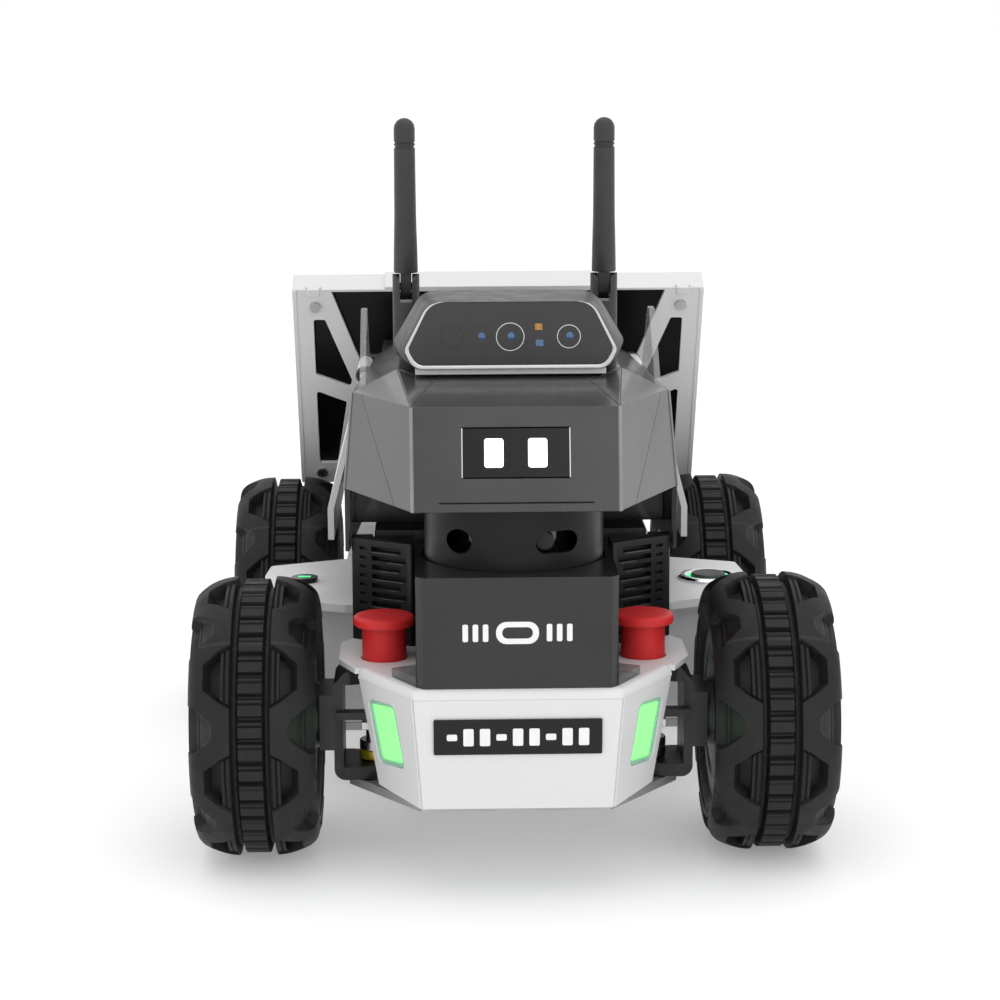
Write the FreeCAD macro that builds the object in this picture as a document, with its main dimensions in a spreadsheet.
import FreeCAD, Part
import math
import os

# Four-wheel educational robot car with hub-motor wheels, a steered front axle, a spinning
# laser scanner in the nose, a smoked faceted head and a tilted touch screen at the rear.
# Frame: +X forward, +Y to the car's left, +Z up, in millimetres. The origin is on the
# ground, under the middle of the wheelbase and on the centre plane.

doc = FreeCAD.newDocument("RobotCar")
sheet = doc.addObject("Spreadsheet::Sheet", "Sizes")

SIZES = {
    # running gear
    "axle_reach": 100.0,        # from the origin to each axle, so the wheelbase is 200
    "wheel_offset": 88.6,       # centre plane to the middle of a tyre
    "wheel_radius": 48.5,
    "wheel_half_width": 21.4,
    "rim_radius": 31.0,
    "drum_radius": 28.6,        # inside of the rim, round the motor
    "motor_radius": 26.5,
    "shaft_radius": 5.0,
    "shaft_clearance": 0.05,
    "knuckle_face": 62.2,       # outer face of the knuckle, where the axle block bolts on
    # steering
    "kingpin_offset": 48.5,
    "kingpin_radius": 3.0,
    "pin_clearance": 0.05,
    "steer_arm": 12.0,          # kingpin to tie-rod pivot, forwards
    "tie_rod_bottom": 47.0,
    "tie_rod_thick": 2.6,
    # chassis
    "clearance": 24.0,          # ground to the underside
    "plate_thick": 3.0,
    "wall_thick": 2.0,
    "tub_half_width": 46.0,
    "pod_half_width": 88.0,
    "tub_top": 73.0,
    "mid_deck_top": 76.0,
    "front_deck_top": 72.2,
    "nose_tip": 161.0,
    "tail_tip": -161.0,
    # nose
    "nose_half_width": 33.2,
    "nose_front": 158.4,
    "nose_top": 109.5,
    "lidar_place": 120.0,
    "lidar_radius": 30.25,
    "latch_place": 114.2,
    "latch_offset": 44.35,
    "latch_stem_radius": 7.65,
    "latch_cap_radius": 10.5,
    # head and body
    "head_bottom": 127.0,
    "cabin_half_width": 48.0,
    "door_pivot_offset": 54.5,
    "door_pivot_height": 150.0,
    "camera_front": 93.0,
    "antenna_place": 18.0,
    "antenna_offset": 36.8,
    "antenna_pivot": 190.0,
    "antenna_top": 252.0,
    "button_place": 8.5,
    "button_offset": 78.0,
    # rear screen
    "screen_top_place": -88.0,
    "screen_top_height": 178.0,
    "screen_tilt": 27.87,       # degrees, the top leaning forwards
    "screen_height": 98.4,
    "screen_half_width": 85.2,
}

for row, (alias, number) in enumerate(SIZES.items(), start=1):
    sheet.set("A%d" % row, alias)
    sheet.set("B%d" % row, str(number))
    sheet.setAlias("B%d" % row, alias)
doc.recompute()

parts = {}
LEFT = 1
RIGHT = -1
SIDES = (("left", LEFT), ("right", RIGHT))


def size(alias):
    return float(sheet.get(alias))


def bound(text):
    """An expression in which each alias of the sheet is written in full."""
    words = []
    word = ""
    for letter in str(text) + " ":
        if letter.isalpha() or letter == "_":
            word += letter
            continue
        words.append("Sizes." + word if word in SIZES else word)
        words.append(letter)
        word = ""
    return "".join(words).strip()


def bind(item, prop, text):
    item.setExpression(prop, bound(text))


def keep(label, item):
    item.Label = label
    parts[label] = item
    return item


def put(item, x=0, y=0, z=0):
    bind(item, "Placement.Base.x", x)
    bind(item, "Placement.Base.y", y)
    bind(item, "Placement.Base.z", z)
    return item


def block(name, x, y, z):
    """A box between two expressions on each axis."""
    item = doc.addObject("Part::Box", name)
    for prop, (low, high) in zip(("Length", "Width", "Height"), (x, y, z)):
        bind(item, prop, "(%s) - (%s)" % (high, low))
    return put(item, x[0], y[0], z[0])


def across(side, near, far):
    """The Y range between two distances from the centre plane, on one side."""
    return (near, far) if side == LEFT else ("-(%s)" % far, "-(%s)" % near)


def post(name, radius, x, y, z):
    item = doc.addObject("Part::Cylinder", name)
    bind(item, "Radius", radius)
    bind(item, "Height", "(%s) - (%s)" % (z[1], z[0]))
    return put(item, x, y, z[0])


def rod(name, radius, x, y, z):
    """A cylinder along X or along Y: that axis gets a range and the others a number."""
    item = doc.addObject("Part::Cylinder", name)
    bind(item, "Radius", radius)
    if isinstance(x, tuple):
        low, high = x
        item.Placement.Rotation = FreeCAD.Rotation(FreeCAD.Vector(0, 1, 0), 90)
        put(item, low, y, z)
    else:
        low, high = y
        item.Placement.Rotation = FreeCAD.Rotation(FreeCAD.Vector(1, 0, 0), -90)
        put(item, x, low, z)
    bind(item, "Height", "(%s) - (%s)" % (high, low))
    return item


def cut(name, base, *tools):
    item = doc.addObject("Part::Cut", name)
    item.Base = base
    item.Tool = tools[0] if len(tools) == 1 else fuse(name + "Tools", *tools)
    return item


def fuse(name, *shapes):
    item = doc.addObject("Part::MultiFuse", name)
    item.Shapes = list(shapes)
    return item


def group(name, pieces):
    """Identical pieces kept as separate solids under one name."""
    item = doc.addObject("Part::Compound", name)
    item.Links = pieces
    return item


def solid(name, shape):
    item = doc.addObject("Part::Feature", name)
    item.Shape = shape
    return item


def origin_plane(body, role):
    return next(f for f in body.Origin.OriginFeatures if f.Role == role)


def corner_arc(before, corner, after, radius):
    """The arc that rounds a corner: its two ends, its centre, and whether it turns left."""
    back = FreeCAD.Vector(before[0] - corner[0], before[1] - corner[1], 0).normalize()
    ahead = FreeCAD.Vector(after[0] - corner[0], after[1] - corner[1], 0).normalize()
    half = back.getAngle(ahead) / 2
    point = FreeCAD.Vector(corner[0], corner[1], 0)
    start = point + back * (radius / math.tan(half))
    end = point + ahead * (radius / math.tan(half))
    centre = point + (back + ahead).normalize() * (radius / math.sin(half))
    turns_left = back.cross(ahead).z < 0
    return start, end, centre, turns_left


def outline(points):
    """Sketch geometry for a closed outline; a third number in a point rounds its corner."""
    count = len(points)
    pieces = []
    ends = []
    for i, corner in enumerate(points):
        radius = corner[2] if len(corner) == 3 else 0
        if not radius:
            here = FreeCAD.Vector(corner[0], corner[1], 0)
            ends.append((here, here, None))
            continue
        arc = corner_arc(points[i - 1], corner, points[(i + 1) % count], radius)
        ends.append(arc[0:2] + (arc[2:4] + (radius,),))
    for i in range(count):
        start, end, rounding = ends[i]
        if rounding:
            centre, turns_left, radius = rounding
            circle = Part.Circle(centre, FreeCAD.Vector(0, 0, 1), radius)
            first, last = (start, end) if turns_left else (end, start)
            angles = [math.atan2(p.y - centre.y, p.x - centre.x) for p in (first, last)]
            if angles[1] < angles[0]:
                angles[1] += 2 * math.pi
            pieces.append(Part.ArcOfCircle(circle, angles[0], angles[1]))
        pieces.append(Part.LineSegment(end, ends[(i + 1) % count][0]))
    return pieces


def sketch(body, name, plane, loops, offset="0"):
    item = body.newObject("Sketcher::SketchObject", name)
    item.AttachmentSupport = [(origin_plane(body, plane), "")]
    item.MapMode = "FlatFace"
    bind(item, "AttachmentOffset.Base.z", offset)
    for loop in loops:
        item.addGeometry(loop, False)
    return item


def plate(name, plane, loops, low, high):
    """A flat body: closed loops on an origin plane, padded between two expressions."""
    body = doc.addObject("PartDesign::Body", name)
    # the XZ plane's normal is -Y, so a range along Y runs backwards from it
    start = "-(%s)" % high if plane == "XZ_Plane" else low
    base = sketch(body, name + "Sketch", plane, loops, start)
    pad = body.newObject("PartDesign::Pad", name + "Pad")
    pad.Profile = base
    bind(pad, "Length", "(%s) - (%s)" % (high, low))
    return body


def circle(x, y, radius):
    return [Part.Circle(FreeCAD.Vector(x, y, 0), FreeCAD.Vector(0, 0, 1), radius)]


def mirrored(points):
    """A half outline on the +Y side, closed through its mirror image in the X axis."""
    return points + [(p[0], -p[1]) + tuple(p[2:]) for p in reversed(points)]


def turned(name, profile):
    """A body turned about the Y axis; the profile holds (distance along Y, radius)."""
    body = doc.addObject("PartDesign::Body", name)
    base = sketch(body, name + "Sketch", "YZ_Plane", [outline(profile)])
    turn = body.newObject("PartDesign::Revolution", name + "Turn")
    turn.Profile = base
    turn.ReferenceAxis = (origin_plane(body, "Y_Axis"), [""])
    turn.Angle = 360
    return body


def polyhedron(corners, faces):
    """A closed solid with flat faces; a face with more than three corners is fanned."""
    flat = []
    for face in faces:
        for i in range(1, len(face) - 1):
            triangle = [corners[face[0]], corners[face[i]], corners[face[i + 1]]]
            flat.append(Part.Face(Part.makePolygon(triangle + triangle[:1])))
    shape = Part.Solid(Part.Shell(flat))
    if shape.Volume < 0:
        shape.reverse()
    return shape.removeSplitter()


def slab(corners, thickness):
    """A flat polygon thickened to the left of its winding; a negative value is the right."""
    face = Part.Face(Part.makePolygon(corners + corners[:1]))
    return face.extrude(face.normalAt(0, 0) * thickness)


def vectors(points):
    return [FreeCAD.Vector(*p) for p in points]


# ---------------------------------------------------------------------------- wheels

def tyre_profile():
    """Half of the tread and side wall, from the centre rib out to the bead."""
    tread = size("wheel_radius")
    half = size("wheel_half_width")
    groove_depth = 4.0
    rib_drop = 0.9
    rib_edge = 4.4
    lug_edge = 6.4
    return [
        (rib_edge, tread - rib_drop),
        (rib_edge, tread - groove_depth),
        (lug_edge, tread - groove_depth),
        (lug_edge, tread),
        (half - 10.9, tread - 0.4),
        (half - 5.2, tread - 2.3),
        (half - 1.1, tread - 5.2, 2.0),
        (half, tread - 11.0, 2.0),
        (half - 1.0, size("rim_radius") + 3.0, 1.0),
        (half - 2.8, size("rim_radius")),
    ]


def make_tyre(name):
    half = tyre_profile()
    other = [(-p[0], p[1]) + tuple(p[2:]) for p in reversed(half)]
    return turned(name, half + other)


def make_rim(name, side):
    """Drum open to the inside, with a windowed web and a closed hub on the outside."""
    outer = size("rim_radius")
    drum = size("drum_radius")
    bore = size("shaft_radius") + size("shaft_clearance")
    edge = size("wheel_half_width") - 2.8
    web_in = 11.0
    web_out = 14.5
    hub_out = 17.5
    hub_radius = 11.0
    profile = [
        (-edge, drum), (web_in, drum), (web_in, bore), (web_out, bore), (web_out, 0.0),
        (hub_out, 0.0), (hub_out, hub_radius), (web_out, hub_radius + 2.0),
        (web_out, drum - 1.5), (edge, drum), (edge, outer), (-edge, outer),
    ]
    body = turned(name, [(side * y, r) for y, r in profile])
    window = sketch(body, name + "Window", "XZ_Plane", [outline([
        (15.5, -3.2, 1.5), (25.4, -6.0, 2.5), (25.4, 6.0, 2.5), (15.5, 3.2, 1.5)])])
    pocket = body.newObject("PartDesign::Pocket", name + "Pocket")
    pocket.Profile = window
    pocket.Length = hub_out + 1.0
    # the XZ plane's normal is -Y and a pocket cuts against it, so towards +Y
    pocket.Reversed = side == RIGHT
    doc.recompute()
    ring = body.newObject("PartDesign::PolarPattern", name + "Windows")
    ring.Originals = [pocket]
    ring.Axis = (origin_plane(body, "Y_Axis"), [""])
    ring.Angle = 360
    ring.Occurrences = 8
    body.Tip = ring
    return body


def make_hub_motor(name, side):
    """The part that does not turn: stator drum, shaft, ribbed inner cover, axle block."""
    stator = size("motor_radius")
    shaft = size("shaft_radius")
    inner = size("wheel_half_width")
    cover = size("drum_radius") - 0.5
    profile = [
        (-inner, 0.0), (14.2, 0.0), (14.2, shaft), (9.5, shaft), (9.5, stator),
        (-17.0, stator), (-17.0, cover), (-18.8, cover), (-18.8, 24.0), (-18.0, 23.0),
        (-18.0, 20.0), (-18.8, 19.0), (-18.8, 12.0), (-inner, 11.0),
    ]
    drum = turned(name + "Drum", [(side * y, r) for y, r in profile])
    put(drum)
    block_depth = "knuckle_face - wheel_offset"
    span = (block_depth, "-wheel_half_width") if side == LEFT else (
        "wheel_half_width", "-(%s)" % block_depth)
    bolt_on = block(name + "Block", (-12, 12), span, (-9.75, 9.75))
    return fuse(name + "Whole", drum, bolt_on)


for end, forward in (("front", 1), ("rear", -1)):
    for hand, side in SIDES:
        tag = end.capitalize() + hand.capitalize()
        for kind, item in (
                ("tyre", make_tyre("Tyre" + tag)),
                ("rim", make_rim("Rim" + tag, side)),
                ("hub_motor", make_hub_motor("Motor" + tag, side))):
            put(item, "%d * axle_reach" % forward, "%d * wheel_offset" % side, "wheel_radius")
            keep("%s_%s_%s" % (end, hand, kind), item)


# ---------------------------------------------------------------------------- steering

def make_knuckle(hand, side):
    """C-shaped steering knuckle round the kingpin, with a lug and pin for the tie rod."""
    name = "Knuckle" + hand.capitalize()
    face = size("knuckle_face")
    wall = 3.2
    arm = 4.5
    low = 28.0
    high = 66.5
    reach = size("kingpin_offset") - 8.0
    ring = [
        (face, low, 4.0), (face, high - 4.5), (face - 4.0, high), (reach, high),
        (reach, high - arm), (face - wall, high - arm), (face - wall, low + arm),
        (reach, low + arm), (reach, low),
    ]
    c_shape = plate(name + "Frame", "YZ_Plane", [outline([(side * p[0],) + p[1:] for p in ring])],
                    "axle_reach - 12", "axle_reach + 12")
    centre = size("axle_reach")
    pin = size("kingpin_offset")
    top_view = [
        (centre - 12.0, side * (pin + 8.0), 4.0), (centre - 12.0, side * (face + 1.0)),
        (centre + 12.0, side * (face + 1.0)), (centre + 12.0, side * (pin + 8.0), 4.0),
        (centre + 8.0, side * (pin - 8.0), 6.0), (centre - 8.0, side * (pin - 8.0), 6.0),
    ]
    shadow = plate(name + "Shadow", "XY_Plane", [outline(top_view)], low - 1.0, high + 1.0)
    trimmed = doc.addObject("Part::Common", name + "Trimmed")
    trimmed.Base = c_shape
    trimmed.Tool = shadow
    pivot = "axle_reach + steer_arm"
    lug = block(name + "Lug", (pivot + " - 2.5", pivot + " + 2.5"),
                across(side, "kingpin_offset - 2.5", "knuckle_face - 1"), (50.2, 52.8))
    stud = post(name + "Stud", 1.5, pivot, "%d * kingpin_offset" % side, (46.4, 50.6))
    bore = post(name + "Bore", "kingpin_radius + pin_clearance", "axle_reach",
                "%d * kingpin_offset" % side, (20, 80))
    return cut(name, fuse(name + "Blank", trimmed, lug, stud), bore)


def make_tie_rod():
    """Flat rod with a slotted eye at each end, which leaves room for the lugs' arcs."""
    pivot = "axle_reach + steer_arm"
    top = "tie_rod_bottom + tie_rod_thick"
    bar = block("TieBar", (pivot + " - 4.5", pivot + " + 3.5"),
                ("-(kingpin_offset + 4)", "kingpin_offset + 4"), ("tie_rod_bottom", top))
    slots = []
    for hand, side in SIDES:
        y = side * size("kingpin_offset")
        x = size("axle_reach") + size("steer_arm")
        half = 1.75
        loop = outline([(x - 2.7, y - half, 1.7), (x + 1.75, y - half, 1.7),
                        (x + 1.75, y + half, 1.7), (x - 2.7, y + half, 1.7)])
        slots.append(plate("TieSlot" + hand, "XY_Plane", [loop], 40, 60))
    return cut("TieRod", bar, *slots)


kingpins = []
collars = []
for hand, side in SIDES:
    keep(hand + "_knuckle", make_knuckle(hand, side))
    pin_y = "%d * kingpin_offset" % side
    kingpins.append(post("Kingpin" + hand, "kingpin_radius", "axle_reach", pin_y,
                         ("clearance + plate_thick", "front_deck_top - wall_thick")))
    collars.append(cut("Collar" + hand,
                       post("CollarBlank" + hand, 5.3, "axle_reach", pin_y, (32.8, 39.6)),
                       post("CollarBore" + hand, "kingpin_radius", "axle_reach", pin_y, (30, 41))))
keep("kingpins", group("Kingpins", kingpins))
keep("kingpin_collars", group("KingpinCollars", collars))
keep("tie_rod", make_tie_rod())


# ---------------------------------------------------------------------------- chassis

PLATE_HALF = [
    (137.0, 32.0), (102.7, 57.4, 1.5), (86.0, 57.4, 3.0), (80.0, 46.0), (34.0, 46.0),
    (34.0, 88.0, 3.0), (-21.0, 88.0, 3.0), (-32.0, 62.2), (-131.0, 62.2), (-152.0, 40.0),
]
keep("base_plate", plate("BasePlate", "XY_Plane", [outline(mirrored(PLATE_HALF))],
                         "clearance", "clearance + plate_thick"))

TUB_HALF = [
    (84.0, 46.0), (34.0, 46.0), (34.0, 88.0), (-21.0, 88.0), (-32.0, 62.2), (-131.0, 62.2),
    (-138.0, 54.2),
]


def inset(points, wall):
    """A half outline moved inwards by one wall; it runs from the front to the rear."""
    loop = [FreeCAD.Vector(x, y, 0) for x, y in mirrored(points)]
    moved = []
    for i in range(len(points)):
        before = (loop[i] - loop[i - 1]).normalize()
        after = (loop[i + 1] - loop[i]).normalize()
        near = FreeCAD.Vector(-before.y, before.x, 0)
        far = FreeCAD.Vector(-after.y, after.x, 0)
        corner = loop[i] + (near + far) * (wall / (1 + near.dot(far)))
        moved.append((corner.x, corner.y))
    return moved


keep("chassis_tub", plate(
    "Tub", "XY_Plane",
    [outline(mirrored(TUB_HALF)), outline(mirrored(inset(TUB_HALF, size("wall_thick"))))],
    "clearance + plate_thick", "tub_top"))

DECK_HALF = [
    (84.0, 44.0), (49.5, 44.0), (49.5, 60.0, 3.0), (38.5, 84.0, 6.0), (-2.0, 92.8, 3.0),
    (-20.5, 91.6, 3.0), (-33.0, 62.2), (-38.5, 62.2),
]
button_x = size("button_place")
button_y = size("button_offset")
keep("mid_deck", plate(
    "MidDeck", "XY_Plane",
    [outline(mirrored(DECK_HALF)), circle(button_x, button_y, 7.85)],
    "tub_top", "mid_deck_top"))

BUTTON_AT = ("button_place", "button_offset")
ring_outer = post("ButtonRingOuter", 11.8, *BUTTON_AT, ("mid_deck_top", "mid_deck_top + 1.6"))
ring_barrel = post("ButtonBarrel", 7.8, *BUTTON_AT, ("tub_top - 9", "mid_deck_top"))
ring_bore = post("ButtonBore", 7.0, *BUTTON_AT, ("tub_top - 7", "mid_deck_top + 3"))
keep("power_button_ring", cut("ButtonRing", fuse("ButtonShell", ring_outer, ring_barrel), ring_bore))
keep("power_button", post("Button", 6.7, *BUTTON_AT, ("mid_deck_top - 5", "mid_deck_top + 2.2")))
keep("battery_gauge", post("Gauge", 5.0, "8", -77.0, ("mid_deck_top", "mid_deck_top + 1.8")))


# --------------------------------------------------------------- front and rear bumpers

def bumper_facets(way, tip, shoulder, foot_tip, foot_shoulder, deck_top):
    """Front panel and two corner panels of folded sheet, parted by narrow gaps."""
    wall = size("wall_thick")
    gap = 0.5
    panels = []
    front = vectors([(tip[0], -tip[1] + gap, deck_top), (tip[0], tip[1] - gap, deck_top),
                     (foot_tip[0], foot_tip[1] - gap, foot_tip[2]),
                     (foot_tip[0], -foot_tip[1] + gap, foot_tip[2])])
    panels.append(slab(front, way * wall))
    foot_x = on_plane(tip, shoulder, foot_tip, deck_top, *foot_shoulder)
    for side in (LEFT, RIGHT):
        corner = vectors([(tip[0], side * tip[1], deck_top),
                          (shoulder[0], side * shoulder[1], deck_top),
                          (foot_x, side * foot_shoulder[0], foot_shoulder[1]),
                          (foot_tip[0], side * foot_tip[1], foot_tip[2])])
        panels.append(slab(corner, way * side * wall))
    return panels


def corner_frame(tip, shoulder, foot_tip, deck_top, side):
    """Origin, rearward axis, downward axis and inward normal of a front corner panel."""
    start, rear, foot = vectors([(tip[0], side * tip[1], deck_top),
                                 (shoulder[0], side * shoulder[1], deck_top),
                                 (foot_tip[0], side * foot_tip[1], foot_tip[2])])
    along = (rear - start).normalize()
    inward = along.cross(foot - start).normalize() * side
    if inward.x > 0:
        inward = inward * -1
    down = along.cross(inward).normalize()
    if down.z > 0:
        down = down * -1
    return start, along, down, inward


FRONT_TIP = (size("nose_tip"), 34.8)
FRONT_SHOULDER = (131.0, 53.3)
FRONT_FOOT_TIP = (157.0, 31.9, 31.2)


def on_plane(tip, shoulder, foot_tip, deck_top, y, z):
    """The X at which a corner panel's plane passes through a given Y and Z."""
    start, along, down, inward = corner_frame(tip, shoulder, foot_tip, deck_top, LEFT)
    return start.x - (inward.y * (y - start.y) + inward.z * (z - start.z)) / inward.x


def make_front_bumper():
    """White folded deck and nose panels, with knob holes and light windows cut through."""
    top = size("front_deck_top")
    wall = size("wall_thick")
    panels = bumper_facets(1, FRONT_TIP, FRONT_SHOULDER, FRONT_FOOT_TIP, (46.3, 33.0), top)
    deck_half = [FRONT_TIP, FRONT_SHOULDER, (116.0, 59.9, 2.0), (92.5, 60.0, 5.0),
                 (86.5, 56.1), (84.5, 46.0)]
    deck = Part.Face(Part.Wire(Part.__sortEdges__(
        [g.toShape() for g in outline(mirrored(deck_half))])))
    deck.translate(FreeCAD.Vector(0, 0, top - wall))
    shape = deck.extrude(FreeCAD.Vector(0, 0, wall))
    shape = shape.fuse(panels)
    for side in (LEFT, RIGHT):
        knob = Part.makeCylinder(size("latch_stem_radius") + 0.35, 3 * wall, FreeCAD.Vector(
            size("latch_place"), side * size("latch_offset"), top - 2 * wall))
        shape = shape.cut(knob)
        shape = shape.cut(light_prism(side, 0.0, -1.0, 3 * wall))
    return solid("FrontBumper", shape.removeSplitter())


def light_prism(side, shrink, near, far):
    """Rounded parallelogram of a headlight, between two depths behind the panel's face."""
    start, along, down, inward = corner_frame(
        FRONT_TIP, FRONT_SHOULDER, FRONT_FOOT_TIP, size("front_deck_top"), side)
    low = [(12.6 + shrink, 7.7 + shrink, 2.5), (30.2 - shrink, 9.3 + shrink, 2.5),
           (27.0 - shrink, 31.2 - shrink, 2.5), (10.0 + shrink, 29.6 - shrink, 2.5)]
    wire = Part.Wire(Part.__sortEdges__([g.toShape() for g in outline(low)]))
    # columns of this matrix are the panel's own axes, so the outline lands on the panel
    normal = along.cross(down)
    matrix = FreeCAD.Matrix(along.x, down.x, normal.x, start.x,
                            along.y, down.y, normal.y, start.y,
                            along.z, down.z, normal.z, start.z)
    face = Part.Face(wire)
    face.transformShape(matrix)
    face.translate(inward * near)
    return face.extrude(inward * (far - near))


def make_rear_bumper():
    top = size("mid_deck_top")
    tip = (size("tail_tip"), 36.0)
    shoulder = (-140.0, 53.0)
    foot_tip = (-157.5, 33.5, 31.2)
    panels = bumper_facets(-1, tip, shoulder, foot_tip, (46.5, 31.2), top)
    deck_half = [tip, shoulder, (-131.6, 62.2, 3.0), (-39.0, 62.2)]
    deck = Part.Face(Part.Wire(Part.__sortEdges__(
        [g.toShape() for g in outline(mirrored(deck_half))])))
    deck_thick = top - size("tub_top")
    deck.translate(FreeCAD.Vector(0, 0, top - deck_thick))
    shape = deck.extrude(FreeCAD.Vector(0, 0, deck_thick)).fuse(panels)
    return solid("RearBumper", shape.removeSplitter())


keep("front_bumper", make_front_bumper())
keep("rear_bumper", make_rear_bumper())
for hand, side in SIDES:
    lens = solid("Headlight" + hand, light_prism(side, 0.15, 1.2, 4.5))
    keep(hand + "_headlight", lens)


def nose_face_x(z):
    """X of the nose panel's outer face at a height."""
    run = size("nose_tip") - FRONT_FOOT_TIP[0]
    return size("nose_tip") - run * (size("front_deck_top") - z) / (
        size("front_deck_top") - FRONT_FOOT_TIP[2])


PLATE_LOW = 50.5
PLATE_HIGH = 62.7
PLATE_HALF_WIDTH = 27.6
plate_corners = vectors([
    (nose_face_x(PLATE_HIGH), -PLATE_HALF_WIDTH, PLATE_HIGH),
    (nose_face_x(PLATE_HIGH), PLATE_HALF_WIDTH, PLATE_HIGH),
    (nose_face_x(PLATE_LOW), PLATE_HALF_WIDTH, PLATE_LOW),
    (nose_face_x(PLATE_LOW), -PLATE_HALF_WIDTH, PLATE_LOW)])
keep("number_plate", solid("NumberPlate", slab(plate_corners, -0.6)))


# ---------------------------------------------------------------------------- nose

def make_nose_cover():
    """Smoked cover round the scanner's base: chamfered front corners, a round hole in the
    top and a flat foot with two small wings."""
    front = size("nose_front")
    half = size("nose_half_width")
    chamfer = 2.5
    rear = 96.0
    wall = 2.4
    body_half = [(front, half - chamfer), (front - chamfer, half), (rear, half)]
    inner_half = [(front - wall, half - chamfer - 1.0), (front - chamfer - 1.0, half - wall),
                  (rear + wall, half - wall)]
    foot_half = [(front, half - chamfer), (front - chamfer, half), (141.0, 41.7),
                 (136.5, half), (rear, half)]
    foot = plate("NoseFoot", "XY_Plane", [outline(mirrored(foot_half))],
                 "front_deck_top", "front_deck_top + 3")
    whole = plate("NoseBlock", "XY_Plane", [outline(mirrored(body_half))],
                  "front_deck_top", "nose_top")
    cavity = plate("NoseCavity", "XY_Plane", [outline(mirrored(inner_half))],
                   "front_deck_top + 3", "nose_top - 2")
    mouth = post("NoseMouth", "lidar_radius + 0.75", "lidar_place", 0,
                 ("front_deck_top - 1", "nose_top + 1"))
    return cut("NoseCover", fuse("NoseBlank", foot, whole), cavity, mouth)


keep("nose_cover", make_nose_cover())

LIDAR_AT = ("lidar_place", 0)
lidar_drum = post("LidarDrum", 29.5, *LIDAR_AT, ("front_deck_top", "nose_top - 0.6"))
lidar_spindle = post("LidarSpindle", 4.0, *LIDAR_AT, ("nose_top - 2", "nose_top + 5"))
keep("lidar_base", fuse("LidarBase", lidar_drum, lidar_spindle))


def make_lidar_rotor():
    """Drum that turns on the spindle, with a round window and an oval one."""
    low = "nose_top - 0.2"
    shell = post("RotorShell", "lidar_radius", *LIDAR_AT, (low, 129.6))
    hollow = post("RotorHollow", "lidar_radius - 2.4", *LIDAR_AT, ("nose_top + 2", 127.4))
    bore = post("RotorBore", "4 + shaft_clearance", *LIDAR_AT, (100, 120))
    round_window = rod("RotorRound", 4.1, (130, 160), -18.7, 118.6)
    oval = [block("RotorOval", (130, 160), (10, 16.6), (115.0, 122.4)),
            rod("RotorOvalNear", 3.7, (130, 160), 10.0, 118.7),
            rod("RotorOvalFar", 3.7, (130, 160), 16.6, 118.7)]
    return cut("LidarRotor", shell, hollow, bore, round_window, *oval)


keep("lidar_rotor", make_lidar_rotor())


def make_vent(hand, side):
    """Louvred block beside the scanner; its slanted front face carries the slots."""
    name = "Vent" + hand
    foot = [(84.5, 34.2), (100.4, 34.2), (86.7, 56.1), (80.0, 56.1), (80.0, 48.5), (84.5, 48.5)]
    points = [(x, side * y) for x, y in foot]
    block_body = plate(name + "Block", "XY_Plane", [outline(points)], "front_deck_top", 108.7)
    slot = [(95.6, 35.9), (100.3, 38.9), (91.0, 53.8), (86.3, 50.8)]
    loop = [(x, side * y) for x, y in slot]
    slots = []
    for i in range(8):
        low = 77.5 + 3.9 * i
        slots.append(plate("%sSlot%d" % (name, i), "XY_Plane", [outline(loop)], low, low + 1.7))
    return cut(name, block_body, *slots)


def make_latch(hand, side):
    """Red mode-latch knob: a wide cap on a stem that slides in the deck's hole."""
    at = ("latch_place", "%d * latch_offset" % side)
    stem = post("LatchStem" + hand, "latch_stem_radius", *at, (70.3, 84.5))
    cap = post("LatchCap" + hand, "latch_cap_radius", *at, (83.9, 87.45))
    edge = doc.addObject("Part::Fillet", "LatchCapRound" + hand)
    doc.recompute()
    edge.Base = cap
    edge.Edges = [(i + 1, 1.2, 1.2) for i, e in enumerate(cap.Shape.Edges) if e.Closed]
    return fuse("Latch" + hand, stem, edge)


for hand, side in SIDES:
    keep(hand + "_vent", make_vent(hand, side))
    keep(hand + "_latch", make_latch(hand, side))


# ---------------------------------------------------------------------------- head

HEAD = {
    "front_low": (153.8, 33.8, 130.2),
    "corner_low": (90.5, 58.0, 127.0),
    "rear_low": (-20.0, 53.5, 127.0),
    "front_top": (145.3, 34.0, 163.4),
    "corner_top": (88.0, 55.0, 160.5),
    "rear_top": (-20.0, 49.0, 159.5),
    "crown_front": (99.0, 27.0, 165.3),
    "crown_corner": (74.0, 39.5, 166.6),
    "crown_rear": (-20.0, 38.0, 166.0),
}
HEAD_FACES = [
    ("front_low", "front_low-", "front_top-", "front_top"),
    ("front_top", "front_top-", "crown_front-", "crown_front"),
    ("crown_front", "crown_front-", "crown_corner-", "crown_corner"),
    ("crown_corner", "crown_corner-", "crown_rear-", "crown_rear"),
    ("rear_top", "crown_rear", "crown_rear-", "rear_top-", "rear_low-", "rear_low"),
    ("front_low", "corner_low", "rear_low", "rear_low-", "corner_low-", "front_low-"),
]
HEAD_SIDE_FACES = [
    ("front_low", "front_top", "corner_top"),
    ("front_low", "corner_top", "corner_low"),
    ("corner_low", "corner_top", "rear_top", "rear_low"),
    ("front_top", "crown_front", "crown_corner", "corner_top"),
    ("corner_top", "crown_corner", "crown_rear", "rear_top"),
]


FIN_INNER = 50.2
FIN_OUTER = 52.4


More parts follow.
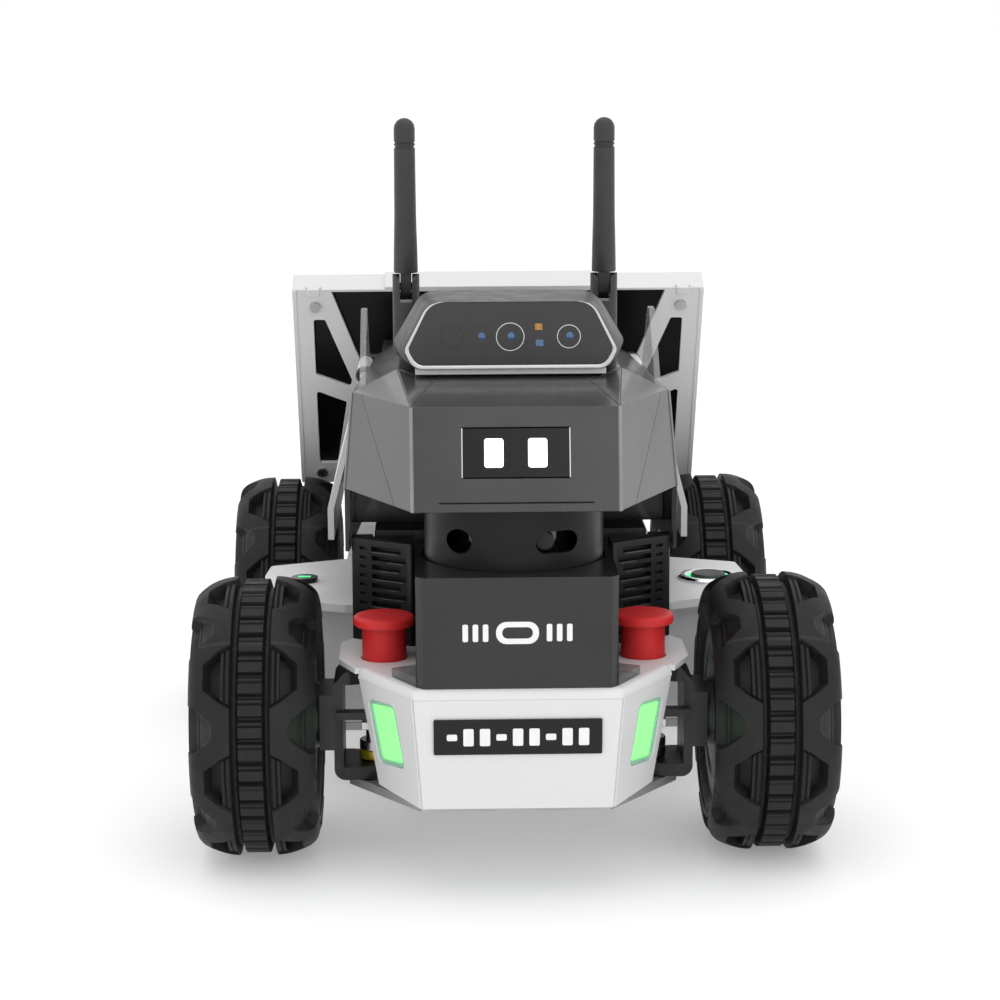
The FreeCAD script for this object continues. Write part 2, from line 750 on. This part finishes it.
def head_solid(wall):
    """The head's closed outer form, or the form one wall inside it."""
    middle = FreeCAD.Vector(66.0, 0.0, 146.0)
    names = []
    corners = []
    for name, point in HEAD.items():
        for mark, side in (("", LEFT), ("-", RIGHT)):
            full = FreeCAD.Vector(point[0], side * point[1], point[2])
            reach = full - middle
            inner = middle + FreeCAD.Vector(
                reach.x - math.copysign(wall * 1.2, reach.x),
                reach.y - math.copysign(wall * 1.1, reach.y),
                reach.z - math.copysign(wall, reach.z))
            names.append(name + mark)
            corners.append(inner)
    faces = [[names.index(n) for n in face] for face in HEAD_FACES]
    for face in HEAD_SIDE_FACES:
        faces.append([names.index(n) for n in face])
        faces.append([names.index(n + "-") for n in reversed(face)])
    return polyhedron(corners, faces)


def face_slab(half_width, low, high, near, far):
    """A slab parallel to the head's front, between two heights and two depths."""
    bottom = HEAD["front_low"]
    top = HEAD["front_top"]

    def x_at(z):
        return bottom[0] + (top[0] - bottom[0]) * (z - bottom[2]) / (top[2] - bottom[2])

    corners = vectors([(x_at(high), -half_width, high), (x_at(high), half_width, high),
                       (x_at(low), half_width, low), (x_at(low), -half_width, low)])
    shape = slab(corners, 1.0)
    inward = FreeCAD.Vector(-1, 0, 0)
    face = Part.Face(Part.makePolygon(corners + corners[:1]))
    normal = face.normalAt(0, 0)
    if normal.dot(inward) < 0:
        normal = normal * -1
    face.translate(normal * near)
    shape = face.extrude(normal * (far - near))
    return shape


def make_head_shell():
    """Smoked shell: hollow, open below, with a window for the face display."""
    outer = head_solid(0.0)
    inner = head_solid(2.4)
    open_floor = inner.copy()
    open_floor.translate(FreeCAD.Vector(0, 0, -4.0))
    shell = outer.cut(inner.fuse(open_floor))
    shell = shell.cut(face_slab(17.6, 140.9, 157.0, -1.0, 6.0))
    for side in (LEFT, RIGHT):
        near, far = sorted((side * (FIN_INNER - 0.1), side * (FIN_OUTER + 0.1)))
        slot = Part.makeBox(56.4, far - near, 14.0, FreeCAD.Vector(29.8, near, 157.8))
        shell = shell.cut(slot)
    return solid("HeadShell", shell)


keep("head_shell", make_head_shell())
keep("face_display", solid("FaceDisplay", face_slab(17.3, 141.2, 156.7, 0.4, 4.0)))


def make_head_skirt():
    """Smoked band under the head: its sides run further forwards and lower than its
    recessed front wall."""
    band = [(68.0, 55.2), (88.0, 56.2), (88.0, 58.2), (-18.0, 52.7)]
    inner = [(66.0, 55.0), (-16.0, 50.8)]
    flap = [(88.0, 58.2), (-18.0, 52.7), (-18.0, 51.2), (88.0, 56.7)]
    walls = plate("SkirtWalls", "XY_Plane", [outline(mirrored(band)), outline(mirrored(inner))],
                  110.5, "head_bottom")
    flaps = [plate("SkirtFlap" + hand, "XY_Plane",
                   [outline([(x, side * y) for x, y in flap])], 104, 112)
             for hand, side in SIDES]
    return fuse("HeadSkirt", walls, *flaps)


keep("head_skirt", make_head_skirt())


# ---------------------------------------------------------------------------- cabin

def make_cabin():
    """Black body behind the nose, hollow, sloping at the back to carry the screen, with
    two lugs on each side for the door pins."""
    slope = math.tan(math.radians(size("screen_tilt")))
    top = 156.0
    low = size("mid_deck_top")
    ledge = 110.5

    def screen_x(z):
        return size("screen_top_place") - (size("screen_top_height") - z) * slope

    side_view = [(82.0, low), (82.0, ledge), (-24.0, ledge), (-24.0, top),
                 (screen_x(top), top), (screen_x(91.0), 91.0), (screen_x(91.0), low)]
    cavity = [(79.5, low + 2.5), (79.5, ledge - 2.5), (-26.5, ledge - 2.5), (-26.5, top - 2.5),
              (screen_x(top) + 2.5, top - 2.5), (screen_x(91.0) + 3.5, 92.0),
              (screen_x(91.0) + 3.5, low + 2.5)]
    solid_body = plate("CabinOuter", "XZ_Plane", [outline(side_view)],
                       "-cabin_half_width", "cabin_half_width")
    hollow = plate("CabinHollow", "XZ_Plane", [outline(cavity)],
                   "-(cabin_half_width - 2.5)", "cabin_half_width - 2.5")
    shell = cut("CabinShell", solid_body, hollow)
    lugs = []
    for hand, side in SIDES:
        for i, start in enumerate((-76.0, -36.0)):
            name = "Lug%s%d" % (hand, i)
            span = (start, start + 6.0)
            arm = block(name + "Arm", span, across(side, "cabin_half_width - 1", "door_pivot_offset"),
                        ("door_pivot_height - 3.2", "door_pivot_height + 3.2"))
            eye = rod(name + "Eye", 3.2, span, "%d * door_pivot_offset" % side, "door_pivot_height")
            hole = rod(name + "Hole", 1.5, (start - 1.0, start + 7.0),
                       "%d * door_pivot_offset" % side, "door_pivot_height")
            lugs.append(cut(name, fuse(name + "Blank", arm, eye), hole))
    return fuse("Cabin", shell, *lugs)


keep("cabin_body", make_cabin())


def make_door(hand, side):
    """Gull-wing side panel bent along its length, with a rolled barrel on the pin."""
    name = "Door" + hand
    wall = 2.3
    bend = 111.2
    low = 99.6
    top = 143.5
    out = 66.1
    lean = 8.3 / 31.8

    def outer_y(z):
        return out - (z - bend) * lean

    section = [(out, low), (out, bend), (outer_y(top), top), (outer_y(top) - wall, top),
               (out - wall, bend - 0.3), (out - wall, low)]
    panel = plate(name + "Panel", "YZ_Plane", [outline([(side * y, z) for y, z in section])],
                  -80, 45)
    centre = size("door_pivot_height")
    pivot = size("door_pivot_offset")
    tab_section = [(outer_y(top) - 0.2, top - 1.0), (pivot + 3.0, centre),
                   (pivot + 0.8, centre), (outer_y(top) - wall + 0.1, top - 1.0)]
    tab = plate(name + "Tab", "YZ_Plane", [outline([(side * y, z) for y, z in tab_section])],
                -68.5, -37.5)
    span = (-68.5, -37.5)
    barrel = rod(name + "Barrel", 3.0, span, "%d * door_pivot_offset" % side, "door_pivot_height")
    bore = rod(name + "Bore", "1.5 + pin_clearance", (-70, -36), "%d * door_pivot_offset" % side,
               "door_pivot_height")
    return cut(name, fuse(name + "Blank", panel, tab, barrel), bore)


door_pins = []
for hand, side in SIDES:
    keep(hand + "_door", make_door(hand, side))
    door_pins.append(rod("DoorPin" + hand, 1.5, (-76, -30), "%d * door_pivot_offset" % side,
                         "door_pivot_height"))
keep("door_pins", group("DoorPins", door_pins))


# ----------------------------------------------------------- camera, fins and antennas

def camera_section(x, grow):
    """Rounded trapezoid of the depth camera at one station, as a closed wire."""
    # a window is drawn in on every side, but the foot stays flat where the body widens
    low = 168.9 - min(grow, 0.0)
    half = [(33.6 + grow, low), (36.7 + grow, 175.5), (28.2 + grow * 0.7, 192.0)]
    points = [(y, z) for y, z in half] + [(-y, z) for y, z in reversed(half)]
    radii = (4.0, 3.0, 7.0, 7.0, 3.0, 4.0)
    loop = outline([p + (r,) for p, r in zip(points, radii)])
    edges = [g.toShape() for g in loop]
    wire = Part.Wire(Part.__sortEdges__(edges))
    matrix = FreeCAD.Matrix(0, 0, 1, x, 1, 0, 0, 0, 0, 1, 0, 0)
    wire.transformShape(matrix)
    return wire


front = size("camera_front")
camera = Part.makeLoft([camera_section(front - 40.0, 3.0), camera_section(front - 26.0, 4.4),
                        camera_section(front, 0.0)], True, True)
keep("camera_body", solid("CameraBody", camera))
window_wire = camera_section(front, -1.6)
window = Part.Face(window_wire)
keep("camera_window", solid("CameraWindow", window.extrude(FreeCAD.Vector(0.8, 0, 0))))
keep("camera_bracket", block("CameraBracket", (56, 91.5), (-33, 33), (166.7, 168.9)))

for hand, side in SIDES:
    fin = [(86.0, 158.0), (86.0, 163.0), (60.0, 186.0), (54.0, 186.0), (30.0, 163.0), (30.0, 158.0)]
    low, high = (FIN_INNER, FIN_OUTER) if side == LEFT else (-FIN_OUTER, -FIN_INNER)
    keep(hand + "_fin", plate("Fin" + hand, "XZ_Plane", [outline(fin)], low, high))


def make_antenna_base(hand, side):
    """Round post with a fork at its top and the pin that the antenna folds on."""
    name = "AntennaBase" + hand
    y = "%d * antenna_offset" % side
    stem = post(name + "Stem", 5.0, "antenna_place", y, (166.7, 184.5))
    blank = post(name + "Blank", 5.0, "antenna_place", y, (184.5, "antenna_pivot + 5"))
    crown = fuse(name + "Crown",
                 block(name + "Below", ("antenna_place - 6", "antenna_place + 6"),
                       (y + " - 6", y + " + 6"), (184, "antenna_pivot")),
                 rod(name + "Round", 4.7, "antenna_place", (y + " - 6", y + " + 6"), "antenna_pivot"))
    cheek = doc.addObject("Part::Common", name + "Cheek")
    cheek.Base = blank
    cheek.Tool = crown
    slot = block(name + "Slot", ("antenna_place - 6", "antenna_place + 6"),
                 (y + " - 2.3", y + " + 2.3"), (184.5, "antenna_pivot + 5"))
    pin = rod(name + "Pin", 1.5, "antenna_place", (y + " - 3", y + " + 3"), "antenna_pivot")
    return fuse(name, stem, cut(name + "Fork", cheek, slot), pin)


def make_antenna(hand, side):
    """Tapered rubber rod with a domed top and a thin groove, on a flat tongue."""
    name = "Antenna" + hand
    y = "%d * antenna_offset" % side
    tongue = block(name + "Tongue", ("antenna_place - 3.4", "antenna_place + 3.4"),
                   (y + " - 2.05", y + " + 2.05"), ("antenna_pivot", "antenna_pivot + 6"))
    eye = rod(name + "Eye", 3.4, "antenna_place", (y + " - 2.05", y + " + 2.05"), "antenna_pivot")
    foot = size("antenna_pivot") + 5.2
    tip = size("antenna_top")
    dome = 3.9
    base_radius = 4.5
    profile = [(0.0, foot), (base_radius, foot), (dome, tip - 11.0), (dome - 0.45, tip - 10.6),
               (dome - 0.45, tip - 10.0), (dome, tip - 9.6), (dome, tip - dome)]
    edges = []
    for a, b in zip(profile, profile[1:]):
        edges.append(Part.makeLine(FreeCAD.Vector(a[0], 0, a[1]), FreeCAD.Vector(b[0], 0, b[1])))
    arc = Part.Arc(FreeCAD.Vector(dome, 0, tip - dome),
                   FreeCAD.Vector(dome * math.sin(math.pi / 4), 0,
                                  tip - dome + dome * math.cos(math.pi / 4)),
                   FreeCAD.Vector(0, 0, tip))
    edges.append(arc.toShape())
    edges.append(Part.makeLine(FreeCAD.Vector(0, 0, tip), FreeCAD.Vector(0, 0, foot)))
    turned_rod = Part.Face(Part.Wire(edges)).revolve(
        FreeCAD.Vector(0, 0, 0), FreeCAD.Vector(0, 0, 1), 360)
    stick = solid(name + "Stick", turned_rod)
    put(stick, "antenna_place", y, 0)
    bore = rod(name + "Bore", "1.5 + pin_clearance", "antenna_place", (y + " - 4", y + " + 4"),
               "antenna_pivot")
    return cut(name, fuse(name + "Blank", tongue, eye, stick), bore)


for hand, side in SIDES:
    keep(hand + "_antenna_base", make_antenna_base(hand, side))
    keep(hand + "_antenna", make_antenna(hand, side))


# ---------------------------------------------------------------------------- rear screen

SCREEN_PLACE = FreeCAD.Placement(
    FreeCAD.Vector(size("screen_top_place"), 0, size("screen_top_height")),
    FreeCAD.Rotation(FreeCAD.Vector(0, 1, 0), size("screen_tilt")))


def tilted(item):
    """Turn an item from the screen's own axes: X out of its back, Z up along it."""
    item.Placement = SCREEN_PLACE
    bind(item, "Placement.Base.x", "screen_top_place")
    bind(item, "Placement.Base.z", "screen_top_height")
    bind(item, "Placement.Rotation.Angle", "screen_tilt")
    return item


def make_screen_frame():
    """White sheet frame: a truss on each side, side flanges, and a lip with two tabs."""
    half = size("screen_half_width")
    tall = size("screen_height")
    depth = 10.0
    sheet_thick = 1.6
    flange = 2.0
    pieces = []
    for hand, side in SIDES:
        rim = [(84.0, 0.6), (69.2, 0.6), (55.6, -41.5), (54.6, -52.0), (60.0, -tall),
               (84.0, -tall)]
        upper = [(76.8, -13.9, 0.8), (72.1, -13.9, 0.8), (61.7, -44.8, 0.8), (62.3, -48.4, 0.8),
                 (76.8, -41.8, 0.8)]
        lower = [(76.8, -50.4, 0.8), (64.2, -56.3, 0.8), (69.1, -88.6, 0.8), (76.8, -88.6, 0.8)]
        loops = [[(side * p[0],) + tuple(p[1:]) for p in loop] for loop in (rim, upper, lower)]
        holes = [circle(side * 76.0, v, 1.3) for v in (-7.1, -93.6)]
        pieces.append(plate("Truss" + hand, "YZ_Plane", [outline(loop) for loop in loops] + holes,
                            0, sheet_thick))
        pieces.append(block("Flange" + hand, (-depth, sheet_thick), across(side, 83.2, half),
                            (-tall, 0.8)))
        pieces.append(block("Tab" + hand, (0, sheet_thick), across(side, 74.6, 78.4), (-1, 2.4)))
        pieces.append(block("LipEnd" + hand, (-depth, sheet_thick), across(side, 50, half),
                            (-tall - 1.2, 0.4 - tall)))
    pieces.append(block("TopLip", (-depth, sheet_thick), (-half, half), (0, 1.2)))
    pieces.append(block("TopRidge", (-depth, sheet_thick), (-47, 47), (1.0, 2.4)))
    # between its ends the bottom lip stops at the face that rests on the cabin
    pieces.append(block("BottomLip", (-depth, 0), (-half, half), (-tall - 1.2, 0.4 - tall)))
    return tilted(fuse("ScreenFrame", *pieces))


keep("screen_frame", make_screen_frame())


def tilted_box(name, x, y, z):
    """A box between expressions in the screen's own axes."""
    return tilted(group(name, [block(name + "Box", x, y, z)]))


keep("screen_back", tilted_box("ScreenBack", (-1.5, 0), (-83, 83),
                               ("-screen_height + 0.6", -0.2)))
keep("touch_screen", tilted_box("TouchScreen", (-9.4, -1.6), (-82.6, 82.6),
                                ("-screen_height + 0.8", -0.6)))
screws = []
for hand, side in SIDES:
    for i, v in enumerate((-7.1, -93.6)):
        name = "Screw%s%d" % (hand, i)
        shank = rod(name + "Shank", 1.2, (0, 1.8), side * 76.0, v)
        head = rod(name + "Head", 2.3, (1.6, 2.8), side * 76.0, v)
        screws.append(fuse(name, shank, head))
keep("screen_screws", tilted(group("ScreenScrews", screws)))


# ---------------------------------------------------------------------------- inside

keep("battery_pack", block("Battery", (-118, -12), (-36, 36), ("clearance + plate_thick", 60)))
board = [block("Board", (0, 76), (-42, 42), (62, 64)),
         block("HeatSink", (16, 56), (-20, 20), (64, 71))]
for i, (x, y) in enumerate(((4, 38), (72, 38), (4, -38), (72, -38))):
    board.append(post("Standoff%d" % i, 2.5, x, y, ("clearance + plate_thick", 62)))
keep("computer_board", fuse("Computer", *board))
keep("motor_driver", block("Driver", (8, 78), (-34, 34), ("clearance + plate_thick", 40)))


# ---------------------------------------------------------------------------- checks

doc.recompute()
for item in doc.Objects:
    state = set(item.State)
    if state & {"Invalid", "Error"}:
        raise SystemExit("%s (%s) is %s" % (item.Name, item.Label, sorted(state)))
os.makedirs("parts", exist_ok=True)
for label, item in parts.items():
    shape = item.Shape
    if shape.isNull() or not shape.isValid() or not shape.Solids:
        raise SystemExit("%s has no valid solid" % label)
    shape.exportStep("parts/%s.step" % label)
    print("%-22s %2d solid(s) %9.0f mm3" % (label, len(shape.Solids), shape.Volume))
whole = Part.makeCompound([item.Shape for item in parts.values()]).BoundBox
print("nodes %d, box X %.2f..%.2f Y %.2f..%.2f Z %.2f..%.2f" % (
    len(parts), whole.XMin, whole.XMax, whole.YMin, whole.YMax, whole.ZMin, whole.ZMax))
